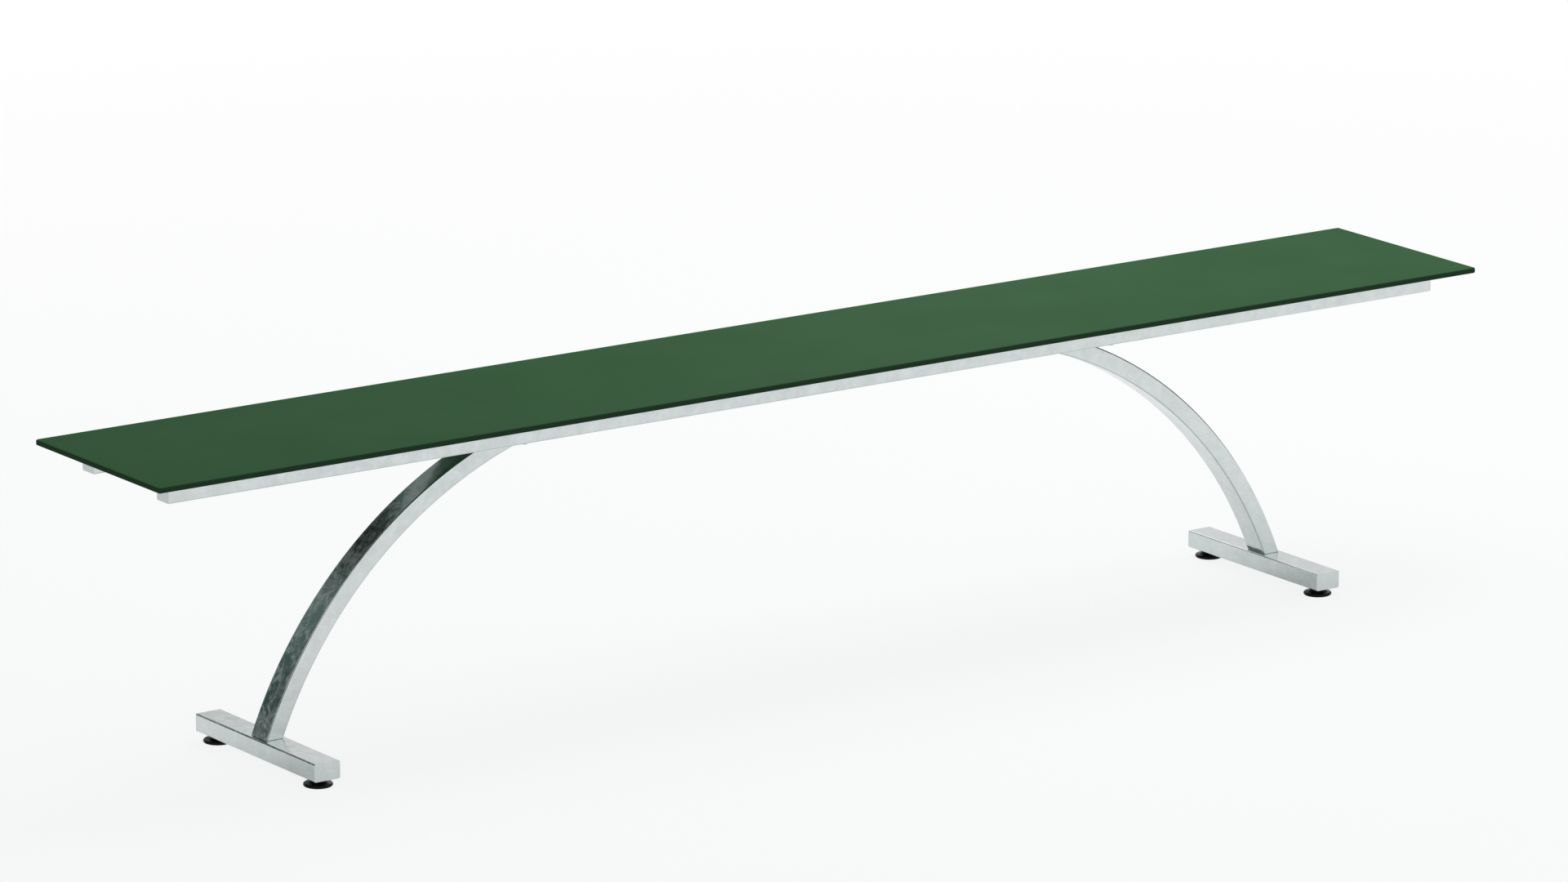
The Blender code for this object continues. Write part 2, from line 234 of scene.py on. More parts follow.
def round_edges(radius, steps=CORNER_STEPS):
    bpy.ops.mesh.bevel(offset=radius, segments=steps, affect="EDGES")


def join(pieces):
    take(pieces[0])
    for piece in pieces[1:]:
        piece.select_set(True)
    bpy.ops.object.join()
    return pieces[0]


def throw_away(piece):
    bpy.data.objects.remove(piece, do_unlink=True)


def combine(piece, tool, operation):
    """Cut a tool out of a piece, or weld it on, and throw the tool away."""
    apply_modifier(piece, "BOOLEAN", object=tool, operation=operation, solver="EXACT")
    throw_away(tool)


def copy_to(piece, name, x, y):
    """A copy of a piece that was made on the middle axis, moved to its own place."""
    take(piece)
    bpy.ops.object.duplicate(linked=False)
    twin = name_new(name)
    twin.location = (x, y, 0)
    set_place(twin)
    return twin


def block(name, low, high):
    put_down()
    low, high = Vector(low), Vector(high)
    bpy.ops.mesh.primitive_cube_add(size=1, location=(low + high) / 2, scale=high - low)
    made = name_new(name)
    set_place(made)
    return made


def turned(name, profile, sides):
    """A disc drawn up, in and out ring by ring, through (radius, height) points from below."""
    put_down()
    radius, height = profile[0]
    bpy.ops.mesh.primitive_circle_add(
        vertices=sides, radius=radius, fill_type="NGON", location=(0, 0, height)
    )
    made = name_new(name)
    set_place(made)
    edit_all(made)
    for next_radius, next_height in profile[1:]:
        rise = next_height - height
        bpy.ops.mesh.extrude_region_move(TRANSFORM_OT_translate={"value": (0, 0, rise)})
        share = next_radius / radius
        bpy.ops.transform.resize(value=(share, share, 1), center_override=(0, 0, next_height))
        radius, height = next_radius, next_height
    edit_all(made)
    bpy.ops.mesh.normals_make_consistent(inside=False)
    put_down()
    return made


def drill(piece, holes, sides=ROUND_SIDES):
    """Straight upright holes, each given by its x, y, radius, bottom and top."""
    bits = []
    for x, y, radius, bottom, top in holes:
        put_down()
        bpy.ops.mesh.primitive_cylinder_add(
            vertices=sides, radius=radius, depth=top - bottom, location=(x, y, (bottom + top) / 2)
        )
        bits.append(name_new(piece.name + "_bit"))
    combine(piece, join(bits), "DIFFERENCE")


def through_top(level):
    """Bottom and top of a bit that goes down through a tube's upper wall."""
    return level - BIT_INSIDE, level + BIT_OUTSIDE


def through_underside(level):
    """Bottom and top of a bit that goes up through a tube's lower wall."""
    return level - BIT_OUTSIDE, level + BIT_INSIDE


def hand_over(piece, body, finish, nodes, crease=35, even=True):
    """Shade a piece, give it its finish, and let it ride in place of its CAD nodes."""
    set_place(piece)
    bpy.ops.object.shade_smooth_by_angle(angle=math.radians(crease))
    if even:
        apply_modifier(piece, "WEIGHTED_NORMAL", mode="FACE_AREA", keep_sharp=True)
    piece.data.materials.clear()
    piece.data.materials.append(finish)
    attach(piece, body)
    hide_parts(*nodes)


# Steps that the finishes are mixed from


def object_place(tree):
    return tree.nodes.new("ShaderNodeTexCoord").outputs["Object"]


def on_axis(tree, place, axis):
    split = tree.nodes.new("ShaderNodeSeparateXYZ")
    tree.links.new(place, split.inputs["Vector"])
    return split.outputs[axis]


def distance(tree, place):
    length = tree.nodes.new("ShaderNodeVectorMath")
    length.operation = "LENGTH"
    tree.links.new(place, length.inputs[0])
    return length.outputs["Value"]


def calculate(tree, operation, *values):
    """A sum on values that are each a plain number or another node's output."""
    step = tree.nodes.new("ShaderNodeMath")
    step.operation = operation
    for socket, value in zip(step.inputs, values):
        if isinstance(value, float):
            socket.default_value = value
        else:
            tree.links.new(value, socket)
    return step.outputs["Value"]


def clouds(tree, place, scale, detail=2.0, roughness=0.5, swirl=0.0, draw=0.0):
    noise = tree.nodes.new("ShaderNodeTexNoise")
    noise.noise_dimensions = "4D"
    noise.inputs["W"].default_value = draw
    noise.inputs["Scale"].default_value = scale
    noise.inputs["Detail"].default_value = detail
    noise.inputs["Roughness"].default_value = roughness
    noise.inputs["Distortion"].default_value = swirl
    tree.links.new(place, noise.inputs["Vector"])
    return noise.outputs["Fac"]


def spread(tree, value, low, high, from_low=0.3, from_high=0.7):
    """Stretch a range of a value, or else a pattern's middle range, to the range wanted."""
    ranged = tree.nodes.new("ShaderNodeMapRange")
    ranged.inputs["From Min"].default_value = from_low
    ranged.inputs["From Max"].default_value = from_high
    ranged.inputs["To Min"].default_value = low
    ranged.inputs["To Max"].default_value = high
    tree.links.new(value, ranged.inputs["Value"])
    return ranged.outputs["Result"]


def blend_colours(tree, amount, first, second):
    """A colour between two others, each a plain colour or another node's output."""
    mix = tree.nodes.new("ShaderNodeMix")
    mix.data_type = "RGBA"
    tree.links.new(amount, mix.inputs["Factor"])
    for socket, colour in zip([s for s in mix.inputs if s.type == "RGBA"], (first, second)):
        if isinstance(colour, tuple):
            socket.default_value = (*colour, 1)
        else:
            tree.links.new(colour, socket)
    return next(s for s in mix.outputs if s.type == "RGBA")


def mix_shaders(tree, amount, first, second):
    mix = tree.nodes.new("ShaderNodeMixShader")
    tree.links.new(amount, mix.inputs["Fac"])
    tree.links.new(first, mix.inputs[1])
    tree.links.new(second, mix.inputs[2])
    return mix.outputs["Shader"]


def grey_ramp(tree, value, stops):
    """A grey that follows a value through (value, grey) stops in rising order."""
    ramp = tree.nodes.new("ShaderNodeValToRGB")
    marks = ramp.color_ramp.elements
    marks[0].position, marks[1].position = stops[0][0], stops[-1][0]
    for position, _ in stops[1:-1]:
        marks.new(position)
    for mark, (_, grey) in zip(marks, stops):
        mark.color = (grey, grey, grey, 1)
    tree.links.new(value, ramp.inputs["Fac"])
    return ramp.outputs["Color"]


def raise_surface(tree, shader, height, depth, strength):
    bump = tree.nodes.new("ShaderNodeBump")
    bump.inputs["Distance"].default_value = depth
    bump.inputs["Strength"].default_value = strength
    tree.links.new(height, bump.inputs["Height"])
    tree.links.new(bump.outputs["Normal"], shader.inputs["Normal"])


# Finishes


def new_finish(name):
    finish = bpy.data.materials.new(name)
    finish.use_nodes = True
    tree = finish.node_tree
    return finish, tree, tree.nodes["Principled BSDF"], object_place(tree)


def make_laminate():
    """Green compact board: a fine-grained satin face, with painted shade on its cut edges in a
    darker copy of the face's green.
    """
    finish, tree, shader, place = new_finish("green_compact_board")
    grain = clouds(tree, place, 900, detail=3)
    pale = spread(tree, clouds(tree, place, 7), 0, 1)
    face = blend_colours(tree, pale, (0.0405, 0.110, 0.0475), (0.045, 0.121, 0.053))
    fleck = spread(tree, grain, 0, 1)
    # Painted shade on the cut edges: a darker copy of the face's green, flecked by the grain
    painted_edge_shade = blend_colours(tree, fleck, (0.019, 0.050, 0.024), (0.025, 0.062, 0.030))
    low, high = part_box("seat_board")
    height = on_axis(tree, place, "Z")
    from_middle = calculate(tree, "SUBTRACT", height, (low.z + high.z) / 2)
    # The share of the face's green by height; the middle of the board's thickness gets the painted
    # edge shade
    unshaded_share = spread(tree, calculate(tree, "ABSOLUTE", from_middle), 0, 1, BOARD_EDGE_SHADE, BOARD_FACE)
    tree.links.new(blend_colours(tree, unshaded_share, painted_edge_shade, face), shader.inputs["Base Color"])
    tree.links.new(spread(tree, grain, 0.56, 0.66), shader.inputs["Roughness"])
    shader.inputs["Specular IOR Level"].default_value = 0.006
    raise_surface(tree, shader, grain, depth=0.00004, strength=0.5)
    return finish


def make_galvanised():
    """Zinc-dipped tube: cool grey, cloudy and uneven, with smears of paler zinc low down."""
    finish, tree, shader, place = new_finish("galvanised_tube")
    patches = clouds(tree, place, 48, detail=3, swirl=0.6)
    fine = clouds(tree, place, 120)
    dull = clouds(tree, place, 55, swirl=1.5, draw=2.0)
    smear = clouds(tree, place, 58, detail=3, roughness=0.55, swirl=1.6, draw=4.0)
    swell = clouds(tree, place, 30, detail=1)
    cloudy = spread(tree, patches, 0, 1)
    tone = blend_colours(tree, cloudy, (0.575, 0.625, 0.623), (0.690, 0.738, 0.736))
    speck = blend_colours(tree, spread(tree, fine, 0, 0.35), tone, (0.720, 0.760, 0.758))
    low_down = spread(tree, on_axis(tree, place, "Z"), 1.0, 0.3, 0.20, 0.30)
    smears = calculate(tree, "MULTIPLY", spread(tree, smear, 0, 1, 0.44, 0.62), low_down)
    colour = blend_colours(tree, smears, speck, (0.740, 0.780, 0.778))
    tree.links.new(colour, shader.inputs["Base Color"])
    tree.links.new(spread(tree, smears, 1.0, 0.67, 0, 1), shader.inputs["Metallic"])
    tree.links.new(spread(tree, dull, 0.16, 0.26, 0.40, 0.64), shader.inputs["Roughness"])
    raise_surface(tree, shader, swell, depth=0.0004, strength=0.35)
    return finish


def make_black_plastic():
    """Moulded black plastic with a faint pebble and slightly uneven gloss."""
    finish, tree, shader, place = new_finish("black_moulded_plastic")
    pebble = clouds(tree, place, 1400)
    cloud = clouds(tree, place, 90)
    pale = spread(tree, cloud, 0, 1)
    tone = blend_colours(tree, pale, (0.004, 0.004, 0.004), (0.008, 0.008, 0.008))
    tree.links.new(tone, shader.inputs["Base Color"])
    tree.links.new(spread(tree, cloud, 0.20, 0.28), shader.inputs["Roughness"])
    shader.inputs["Specular IOR Level"].default_value = 0.15
    raise_surface(tree, shader, pebble, depth=0.00003, strength=0.3)
    return finish


def make_zinc():
    """Bright zinc plating on the fixings and studs, with a faint fine grain."""
    finish, tree, shader, place = new_finish("bright_zinc_plating")
    cloud = clouds(tree, place, 260)
    fine = clouds(tree, place, 2600, detail=1)
    pale = spread(tree, cloud, 0, 1)
    tone = blend_colours(tree, pale, (0.58, 0.59, 0.61), (0.66, 0.67, 0.68))
    tree.links.new(tone, shader.inputs["Base Color"])
    shader.inputs["Metallic"].default_value = 1.0
    tree.links.new(spread(tree, cloud, 0.24, 0.36), shader.inputs["Roughness"])
    raise_surface(tree, shader, fine, depth=0.00001, strength=0.3)
    return finish


LAMINATE = make_laminate()
GALVANISED = make_galvanised()
BLACK_PLASTIC = make_black_plastic()
ZINC = make_zinc()


# Places that the CAD boxes give

board_low, board_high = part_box("seat_board")
rail_low, rail_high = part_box("front_rail")
foot_low, foot_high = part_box("right_foot_bar")
FOOT_X = (foot_low.x + foot_high.x) / 2
RAIL_Y = -(rail_low.y + rail_high.y) / 2
SCREW_X = sum(corner.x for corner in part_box("front_right_seat_screw")) / 2
BOLT_X = sum(corner.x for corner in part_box("front_right_seat_bolt")) / 2
GLIDE_Y = sum(corner.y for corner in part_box("right_back_glide_pad")) / 2
GLIDES = [
    (f"{side_name}_{row_name}", side * FOOT_X, row * GLIDE_Y)
    for side_name, side in SIDES
    for row_name, row in ROWS
]


# Seat board


def make_board():
    board = block("laminate_board", board_low, board_high)
    edit_edges(board, runs_along(Z))
    round_edges(BOARD_CORNER, steps=8)
    edit_edges(board, runs_across(Z))
    round_edges(BOARD_EDGE)
    bottom = board_low.z - BIT_BELOW_BOARD
    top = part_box("front_right_seat_screw")[1].z + SHANK_PLAY
    holes = []
    for _, row in ROWS:
        for x in (-SCREW_X, 0, SCREW_X):
            holes.append((x, row * RAIL_Y, SCREW_HOLE, bottom, top))
        for x in (-BOLT_X, BOLT_X):
            holes.append((x, row * RAIL_Y, BOLT_HOLE, bottom, top))
    drill(board, holes)
    hand_over(board, "frame", LAMINATE, ["seat_board"])


# Tubes and plates of the welded frame


def rounded_bar(name, low, high, along):
    """A block with its long edges rounded."""
    made = block(name, low, high)
    edit_edges(made, runs_along(along))
    round_edges(TUBE_CORNER)
    return made


def tube(name, low, high, along):
    """A rounded bar with its ends opened and a wall turned inwards."""
    made = rounded_bar(name, low, high, along)
    edit_faces(made, looks_along(along))
    bpy.ops.mesh.delete(type="FACE")
    give_wall(made)
    return made


def end_plate(name, low, high, along, outward):
    """A plate with the tube's own corners and a softly dressed outer rim."""
    made = rounded_bar(name, low, high, along)
    edit_edges(made, lies_at(along, high[along] if outward > 0 else low[along]))
    round_edges(PLATE_EDGE, steps=3)
    return made


def make_rails():
    for row_name, row in ROWS:
        node = row_name + "_rail"
        low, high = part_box(node)
        plate_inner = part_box(node + "_right_end_plate")[0].x
        low.x, high.x, high.z = -plate_inner, plate_inner, board_low.z
        rail = tube(node + "_tube", low, high, X)
        y = row * RAIL_Y
        upper, lower = through_top(high.z), through_underside(low.z)
        holes = []
        for x in (-SCREW_X, 0, SCREW_X):
            holes += [(x, y, SCREW_HOLE, *upper), (x, y, ACCESS_HOLE, *lower)]
        for x in (-BOLT_X, BOLT_X):
            holes += [(x, y, BOLT_HOLE, *upper), (x, y, BOLT_HOLE, *lower)]
        drill(rail, holes)
        hand_over(rail, "frame", GALVANISED, [node])
        for side_name, side in SIDES:
            plate_node = f"{node}_{side_name}_end_plate"
            low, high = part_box(plate_node)
            high.z = board_low.z
            plate = end_plate(f"{node}_{side_name}_end_cap", low, high, X, side)
            hand_over(plate, "frame", GALVANISED, [plate_node])


def make_cross_tubes():
    for side_name, _ in SIDES:
        for place in ("inner", "outer"):
            node = f"{side_name}_{place}_cross_tube"
            low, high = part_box(node)
            low.y, high.y = rail_high.y, -rail_high.y
            bar = tube(f"{side_name}_{place}_cross_bar", low, high, Y)
            hand_over(bar, "frame", GALVANISED, [node])


def on_leg_rim(bend_x, bend_z, level):
    """A test for edges round the outside of a leg's sawn end."""

    def on_rim(point):
        across = abs(math.hypot(point.x - bend_x, point.z - bend_z) - LEG_BEND)
        inset = min(LEG_DEPTH / 2 - across, LEG_WIDTH / 2 - abs(point.y))
        return abs(point.z - level) < TOUCH and inset < TUBE_WALL / 2

    return lambda start, end: on_rim(start) and on_rim(end)


def make_legs():
    """A tube section spun round the bend's centre, given its wall, then sawn off at the foot."""
    foot_top = foot_high.z
    overrun = 0.05  # radians past the foot bar's top, to be sawn off
    for side_name, side in SIDES:
        node = side_name + "_leg"
        low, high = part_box(node)
        bend_x = low.x if side > 0 else high.x
        section_z = high.z - LEG_DEPTH / 2
        bend_z = high.z - LEG_BEND - LEG_DEPTH / 2
        sweep = math.acos((foot_top - bend_z) / LEG_BEND) + overrun
        put_down()
        bpy.ops.mesh.primitive_plane_add(
            size=1, location=(bend_x, 0, section_z), rotation=(0, math.pi / 2, 0)
        )
        leg = name_new(side_name + "_bent_leg")
        leg.scale = (LEG_DEPTH, LEG_WIDTH, 1)
        set_place(leg)
        edit_all(leg)
        bpy.ops.mesh.bevel(offset=TUBE_CORNER, segments=CORNER_STEPS, affect="VERTICES")
        bpy.ops.mesh.select_all(action="SELECT")
        bpy.ops.mesh.delete(type="ONLY_FACE")
        bpy.ops.mesh.select_all(action="SELECT")
        bpy.ops.mesh.spin(
            steps=LEG_STEPS, angle=-side * sweep, center=(bend_x, 0, bend_z), axis=(0, 1, 0)
        )
        edit_all(leg)
        bpy.ops.mesh.remove_doubles(threshold=TOUCH / 10)
        bpy.ops.mesh.normals_make_consistent(inside=False)
        give_wall(leg)
        edit_all(leg)
        bpy.ops.mesh.bisect(
            plane_co=(0, 0, foot_top), plane_no=(0, 0, 1), clear_inner=True, use_fill=False
        )
        edit_edges(leg, lies_at(Z, foot_top))
        bpy.ops.mesh.bridge_edge_loops()
        edit_edges(leg, on_leg_rim(bend_x, bend_z, foot_top))
        round_edges(LEG_SEAM, steps=1)
        hand_over(leg, "frame", GALVANISED, [node])


def make_foot_bars():
    for side_name, side in SIDES:
        node = side_name + "_foot_bar"
        low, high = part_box(node)
        plate_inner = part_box(node + "_back_end_plate")[0].y
        low.y, high.y = -plate_inner, plate_inner
        bar = tube(node + "_tube", low, high, Y)
        x = side * FOOT_X
        holes = [(x, 0, VENT_HOLE, *through_top(high.z))]
        for _, row in ROWS:
            holes.append((x, row * GLIDE_Y, STUD_HOLE, *through_underside(low.z)))
        drill(bar, holes)
        hand_over(bar, "frame", GALVANISED, [node])
        for row_name, row in ROWS:
            plate_node = f"{node}_{row_name}_end_plate"
            plate = end_plate(f"{node}_{row_name}_end_cap", *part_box(plate_node), Y, row)
            hand_over(plate, "frame", GALVANISED, [plate_node])


# Levelling glides


def pad_profile():
    """Hollowed sole, round rim, dished top, hub and the stud's socket."""
    low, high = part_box("right_back_glide_pad")
    bead_middle = (high.x - low.x) / 2 - PAD_BEAD
    top = high.z
    points = list(PAD_HOLLOW)
    for step in range(PAD_STEPS + 1):
        turn = math.pi * step / PAD_STEPS
        radius = bead_middle + PAD_BEAD * math.sin(turn)
        points.append((radius, PAD_BEAD * (1 - math.cos(turn))))
    flare_width, flare_height = bead_middle - PAD_HUB, top - 2 * PAD_BEAD
    for step in range(1, PAD_STEPS):
        turn = math.pi / 2 * step / PAD_STEPS
        radius = PAD_HUB + flare_width * (1 - math.sin(turn))
        points.append((radius, 2 * PAD_BEAD + flare_height * (1 - math.cos(turn))))
    points += [
        (PAD_HUB, top - PAD_HUB_EDGE),
        (PAD_HUB - PAD_HUB_EDGE, top),
        (PAD_SOCKET + PAD_SOCKET_MOUTH, top),
        (PAD_SOCKET, top - PAD_SOCKET_MOUTH),
        (PAD_SOCKET, PAD_SOCKET_FLOOR),
    ]
    return points


def make_pads():
    pattern = turned("glide_pad_pattern", pad_profile(), PAD_SIDES)
    for name, x, y in GLIDES:
        pad = copy_to(pattern, name + "_black_pad", x, y)
        node = name + "_glide_pad"
        hand_over(pad, name + "_pad", BLACK_PLASTIC, [node], even=False)
    throw_away(pattern)


def threaded_rod(name, radius, bottom, top):
    """One turn's profile wound up into a thread, then sawn off square at both ends."""
    start = bottom - THREAD_PITCH / 2
    spare_turns = 2
    put_down()
    bpy.ops.mesh.primitive_plane_add(size=THREAD_PITCH, rotation=(math.pi / 2, 0, 0))
    rod = name_new(name)
    set_place(rod)
    edit_points(rod, lambda point: point.x < 0)
    bpy.ops.mesh.delete(type="VERT")
    edit_all(rod)
    bpy.ops.transform.translate(value=(radius - THREAD_DEPTH - THREAD_PITCH / 2, 0, start))
    bpy.ops.mesh.subdivide(number_cuts=1)
    edit_points(rod, lambda point: abs(point.z - start) < TOUCH)
    bpy.ops.transform.translate(value=(THREAD_DEPTH, 0, 0))
    apply_modifier(
        rod,
        "SCREW",
        axis="Z",
        angle=2 * math.pi,
        screw_offset=THREAD_PITCH,
        iterations=math.ceil((top - bottom) / THREAD_PITCH) + spare_turns,
        steps=THREAD_STEPS,
        render_steps=THREAD_STEPS,
        use_merge_vertices=False,
    )
    edit_all(rod)
    bpy.ops.mesh.remove_doubles(threshold=TOUCH)
    bpy.ops.mesh.normals_make_consistent(inside=False)
    for height, cut in ((bottom, {"clear_inner": True}), (top, {"clear_outer": True})):
        bpy.ops.mesh.bisect(plane_co=(0, 0, height), plane_no=(0, 0, 1), use_fill=True, **cut)
        edit_all(rod)
    bpy.ops.mesh.normals_make_consistent(inside=False)
    put_down()
    return rod


def make_studs():
    """A threaded rod with a spanner collar and a plain pin that turns in the pad."""
    low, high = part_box("right_back_glide_stud")
    pad_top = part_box("right_back_glide_pad")[1].z
    collar_low, collar_high = pad_top + SHANK_PLAY, foot_low.z - SHANK_PLAY
    middle = (collar_low + collar_high) / 2
    pattern = threaded_rod("glide_stud_pattern", STUD_RADIUS, middle, high.z)
    pin_profile = [
        (STUD_RADIUS - STUD_TIP, low.z),
        (STUD_RADIUS, low.z + STUD_TIP),
        (STUD_RADIUS, middle + STUD_LAP),
    ]
    collar_profile = [
        (COLLAR_END, collar_low),
        (COLLAR_CORNER, collar_low + COLLAR_EDGE),
        (COLLAR_CORNER, collar_high - COLLAR_EDGE),
        (COLLAR_END, collar_high),
    ]
    pin = turned("stud_pin", pin_profile, ROUND_SIDES)
    collar = turned("stud_collar", collar_profile, HEXAGON)
    combine(pattern, collar, "UNION")
    combine(pattern, pin, "UNION")
    for name, x, y in GLIDES:
        stud = copy_to(pattern, name + "_threaded_stud", x, y)
        node = name + "_glide_stud"
        hand_over(stud, name + "_stud", ZINC, [node], crease=25, even=False)
    throw_away(pattern)


def finish_weld_nuts():
    """The nuts inside the foot bars keep their CAD shape and get the frame's finish."""
    for name, _, _ in GLIDES:
        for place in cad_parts[name + "_weld_nut"].material_slots:
            place.material = GALVANISED


# Seat fixings


def dome(radius, low, high):
    """The crown and side of a button head that hangs below its seat."""
    crown = radius * CROWN_SHARE
    points = []
    for step in range(DOME_STEPS + 1):
        turn = math.pi / 2 * step / DOME_STEPS
        reach = crown + (radius - crown) * math.sin(turn)
        points.append((reach, high - (high - low) * math.cos(turn)))
    return points


def fixing(name, head, shank, seat, tip, socket_depth):
    """Head from its crown up to its seat, shank to its chamfered tip, and a hexagon socket."""
    profile = head + [(shank, seat), (shank, tip - FIXING_TIP), (shank - FIXING_TIP, tip)]
    made = turned(name, profile, ROUND_SIDES)
    crown = head[0][1]
    drill(made, [(0, 0, SOCKET, crown - SOCKET_LEAD, crown + socket_depth)], HEXAGON)
    return made


def lay_out(pattern, places, reach, piece_name, node_name):
    """Copies of a fixing along both rails, in place of their CAD nodes."""
    for row_name, row in ROWS:
        for place_name, place in places:
            spot = f"{row_name}_{place_name}_"
            made = copy_to(pattern, spot + piece_name, place * reach, row * RAIL_Y)
            hand_over(made, "frame", ZINC, [spot + node_name])
    throw_away(pattern)


def make_fixings():
    low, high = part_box("front_right_seat_bolt")
    seat = rail_low.z
    flange_low = low.z + BOLT_HEAD_HEIGHT
    head = dome(BOLT_HEAD, low.z, flange_low)
    head += [
        (FLANGE - FLANGE_LIP, flange_low),
        (FLANGE, flange_low + FLANGE_LIP),
        (FLANGE, seat - FLANGE_HEEL),
        (FLANGE - FLANGE_HEEL, seat),
    ]
    bolt = fixing("seat_bolt_pattern", head, BOLT_SHANK, seat, high.z, BOLT_SOCKET_DEPTH)
    lay_out(bolt, SIDES, BOLT_X, "button_bolt", "seat_bolt")

    low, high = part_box("front_right_seat_screw")
    seat = low.z + SCREW_HEAD_HEIGHT
    head = dome(SCREW_HEAD, low.z, seat)
    screw = fixing("seat_screw_pattern", head, SCREW_SHANK, seat, high.z, SCREW_SOCKET_DEPTH)
    lay_out(screw, SCREW_PLACES, SCREW_X, "pan_screw", "seat_screw")


# Floor, light and camera, in metres and radians

FLOOR_SIZE = 160
FLOOR_COLOUR = (0.80, 0.87, 0.865)
# How far the camera sees the floor lifted to white, near the bench and far from it
NEAR_LIFT, FAR_LIFT = 0.85, 1.0
NEAR_REACH, FAR_REACH = 1.2, 4.5
# The same in reflections: (distance, lift) stops, for distances shifted and scaled to the bench
MIRRORED_SHIFT = (0, 0.14, 0)
MIRRORED_SCALE = (0.2, 2, 0)
MIRRORED_LIFT = ((0.16, 0.27), (0.27, 0.56), (0.55, 0.76), (1.0, 0.92))

# The sky's strength as a light and in reflections; the camera sees it plain white
SKY_LIGHT = 0.53
SKY_MIRRORED = 0.88

SOFTBOX_PLACE = (1.5, 0.6, 3.0)
SOFTBOX_SIZE = (2.6, 2.0)
SOFTBOX_WATTS = 46

CAMERA_PLACE = (-6.825079, -9.746592, 3.336156)
CAMERA_AIM = (0.5560243, 0.7940271, -0.2456253)
# In millimetres
CAMERA_SENSOR = 36
CAMERA_LENS = 204.806
# The camera's turn from straight ahead, which two of the cards share
CAMERA_TURN = 0.611

WHITE = (1, 1, 1)
DARK = (0.58, 1.0, 0.88)
UPPER_FADE = (0.01, 0.005, 0.012, 0.04, 0.08, 0.10, 0.10, 0.05, 0.03, 0.03)
LOWER_FADE = (0.06, 0.04, 0.03, 0.04, 0.10, 0.17, 0.02)
# What the tubes mirror besides the floor: dark behind on the left and at the right, white in front.
# Each card has its name, place, turn, width and height, tint, and its glow along its width.
CARDS = (
    ("upper_back_flag", (-0.53, 2.5, 4.225), 0, (2.06, 5.55), DARK, UPPER_FADE),
    ("lower_back_flag", (-2.58, 2.5, 3.5), 0, (2.04, 7.0), DARK, LOWER_FADE),
    ("left_flag", (-4.0, 0.75, 2.5), math.pi / 2, (3.5, 4.4), DARK, (0.10,)),
    ("low_grey_card", (-2.0, 1.0, 0.09), 0, (1.2, 0.18), WHITE, (0.72,)),
    ("low_dark_card", (-0.60, 0.60, 0.08), 0, (0.45, 0.16), DARK, (0.10,)),
    ("right_flag", (6, -0.2, 1.5), math.pi / 2, (8, 2.2), DARK, (0.03,)),
    ("camera_flag", (-2.8, -4.0, 1.35), -CAMERA_TURN, (4.0, 2.4), DARK, (0.03,)),
    ("back_grey_card", (3.6, 5.0, 1.7), 0, (3.6, 1.8), WHITE, (0.83,)),
    ("back_fill", (1.11, 1.2, 0.83), 0, (0.8, 0.54), WHITE, (1.6,)),
    ("front_fill", (4.6, -8.0, 3.0), CAMERA_TURN, (12.0, 5.0), WHITE, (1.1,)),
)


def bare_material(name):
    made = bpy.data.materials.new(name)
    made.use_nodes = True
    made.node_tree.nodes.clear()
    return made, made.node_tree


def new_glow(tree, colour):
    glow = tree.nodes.new("ShaderNodeEmission")
    glow.inputs["Color"].default_value = (*colour, 1)
    return glow


def set_surface(tree, shader):
    tree.links.new(shader, tree.nodes.new("ShaderNodeOutputMaterial").inputs["Surface"])


def seen_by(tree):
    """Two switches: on for what the camera sees, and for what mirrors and clear surfaces see."""
    path = tree.nodes.new("ShaderNodeLightPath")
    glossy, clear = path.outputs["Is Glossy Ray"], path.outputs["Is Transmission Ray"]
    return path.outputs["Is Camera Ray"], calculate(tree, "MAXIMUM", glossy, clear)


def floor_lift(tree, camera, mirrored):
    """How far the floor is lifted to white: fully far away, and less near the bench."""
    place = object_place(tree)
    away = spread(tree, distance(tree, place), NEAR_LIFT, FAR_LIFT, NEAR_REACH, FAR_REACH)
    direct = calculate(tree, "MULTIPLY", camera, away)
    reach = tree.nodes.new("ShaderNodeMapping")
    reach.inputs["Location"].default_value = MIRRORED_SHIFT
    reach.inputs["Scale"].default_value = MIRRORED_SCALE
    tree.links.new(place, reach.inputs["Vector"])
    lift = grey_ramp(tree, distance(tree, reach.outputs["Vector"]), MIRRORED_LIFT)
    return calculate(tree, "MAXIMUM", direct, calculate(tree, "MULTIPLY", mirrored, lift))


def make_floor():
    """A white floor that keeps the shadows; the camera sees through it to pads let down below."""
    put_down()
    bpy.ops.mesh.primitive_plane_add(size=FLOOR_SIZE, location=(0, 0, 0))
    floor = name_new("pale_floor")
    paint, tree = bare_material("pale_floor_paint")
    matt = tree.nodes.new("ShaderNodeBsdfDiffuse")
    matt.inputs["Color"].default_value = (*FLOOR_COLOUR, 1)
    glow = new_glow(tree, WHITE)
    clear = tree.nodes.new("ShaderNodeBsdfTransparent").outputs["BSDF"]
    camera, mirrored = seen_by(tree)
    lifted = mix_shaders(tree, camera, glow.outputs["Emission"], clear)
    lift = floor_lift(tree, camera, mirrored)
    pale = mix_shaders(tree, lift, matt.outputs["BSDF"], lifted)
    from_below = tree.nodes.new("ShaderNodeNewGeometry").outputs["Backfacing"]
    set_surface(tree, mix_shaders(tree, from_below, pale, clear))
    floor.data.materials.append(paint)


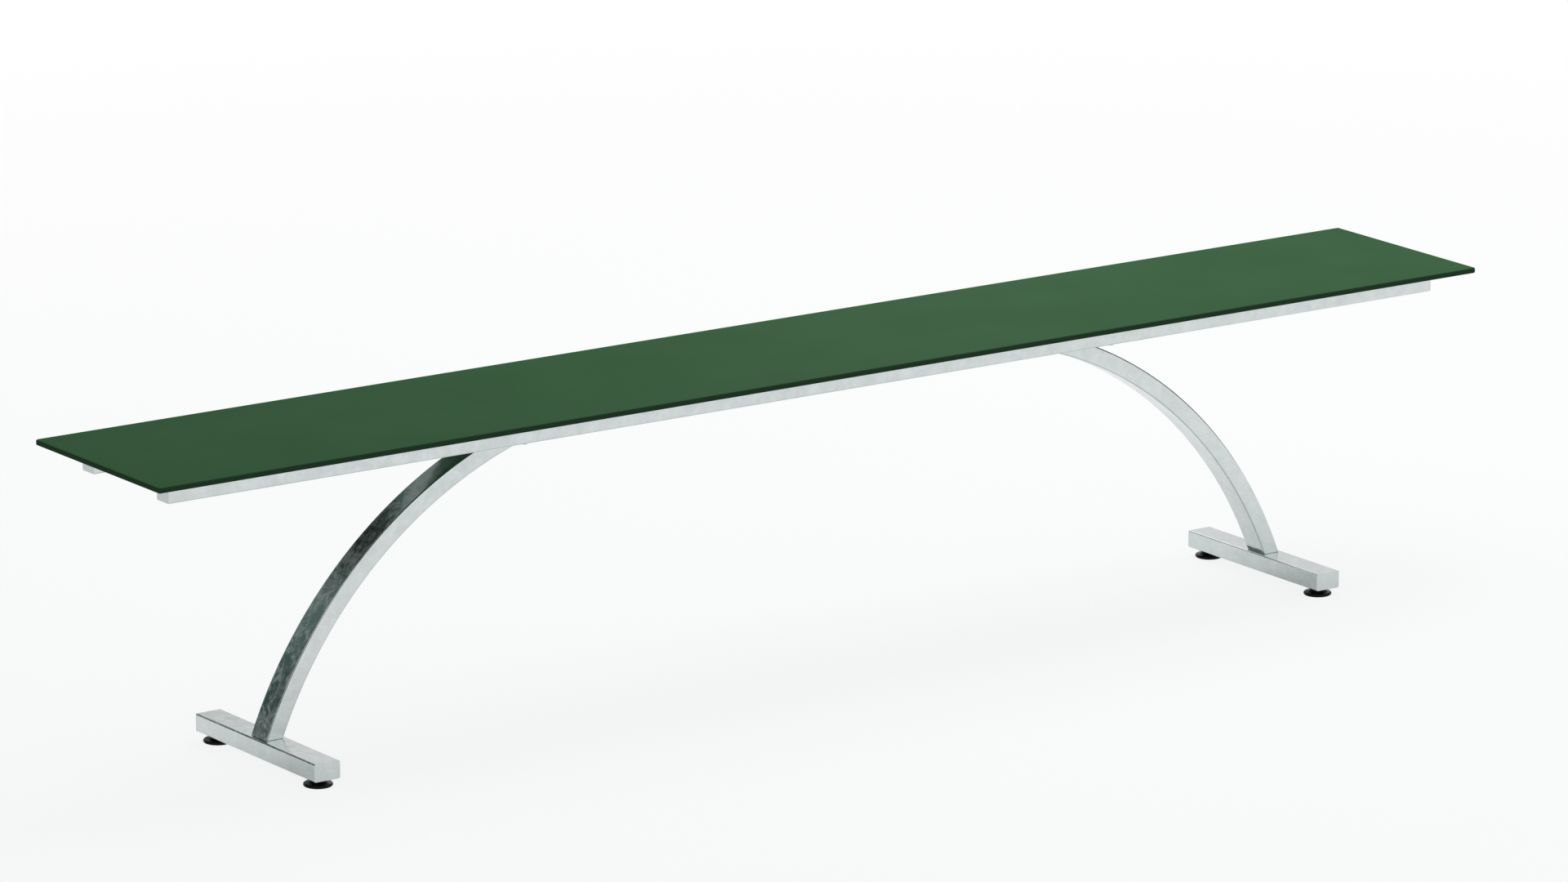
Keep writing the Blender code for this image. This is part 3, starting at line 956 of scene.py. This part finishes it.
def make_world():
    world = bpy.data.worlds.new("soft_studio")
    world.use_nodes = True
    tree = world.node_tree
    sky = tree.nodes["Background"]
    sky.inputs["Color"].default_value = (*WHITE, 1)
    camera, mirrored = seen_by(tree)
    light = spread(tree, mirrored, SKY_LIGHT, SKY_MIRRORED, 0, 1)
    tree.links.new(calculate(tree, "MAXIMUM", light, camera), sky.inputs["Strength"])
    bpy.context.scene.world = world


def make_softbox():
    put_down()
    bpy.ops.object.light_add(type="AREA", location=SOFTBOX_PLACE)
    softbox = bpy.context.view_layer.objects.active
    softbox.name = "softbox"
    softbox.data.shape = "RECTANGLE"
    softbox.data.size, softbox.data.size_y = SOFTBOX_SIZE
    softbox.data.energy = SOFTBOX_WATTS
    softbox.visible_glossy = False


def studio_card(name, place, turn, size, tint, strengths):
    """An upright card that only reflections see, its glow given at even steps along its width."""
    put_down()
    bpy.ops.mesh.primitive_plane_add(size=1, location=place, rotation=(math.pi / 2, 0, turn))
    card = name_new(name)
    card.scale = (*size, 1)
    cloth, tree = bare_material(name + "_cloth")
    glow = new_glow(tree, tint)
    if len(strengths) == 1:
        glow.inputs["Strength"].default_value = strengths[0]
    else:
        across = spread(tree, on_axis(tree, object_place(tree), "X"), 0, 1, -0.5, 0.5)
        last = len(strengths) - 1
        stops = [(step / last, strength) for step, strength in enumerate(strengths)]
        tree.links.new(grey_ramp(tree, across, stops), glow.inputs["Strength"])
    set_surface(tree, glow.outputs["Emission"])
    card.data.materials.append(cloth)
    card.visible_camera = False
    card.visible_diffuse = False
    card.visible_transmission = False
    card.visible_shadow = False


def make_camera():
    put_down()
    bpy.ops.object.camera_add(location=CAMERA_PLACE)
    camera = bpy.context.view_layer.objects.active
    camera.rotation_euler = Vector(CAMERA_AIM).to_track_quat("-Z", "Y").to_euler()
    camera.data.sensor_width = CAMERA_SENSOR
    camera.data.lens = CAMERA_LENS
    camera.data.clip_end = 200
    bpy.context.scene.camera = camera


make_camera()
make_floor()
make_world()
make_softbox()
for card in CARDS:
    studio_card(*card)
make_board()
make_rails()
make_cross_tubes()
make_legs()
make_foot_bars()
make_pads()
make_studs()
make_fixings()
finish_weld_nuts()

bpy.context.scene.view_settings.view_transform = "Standard"
put_down()
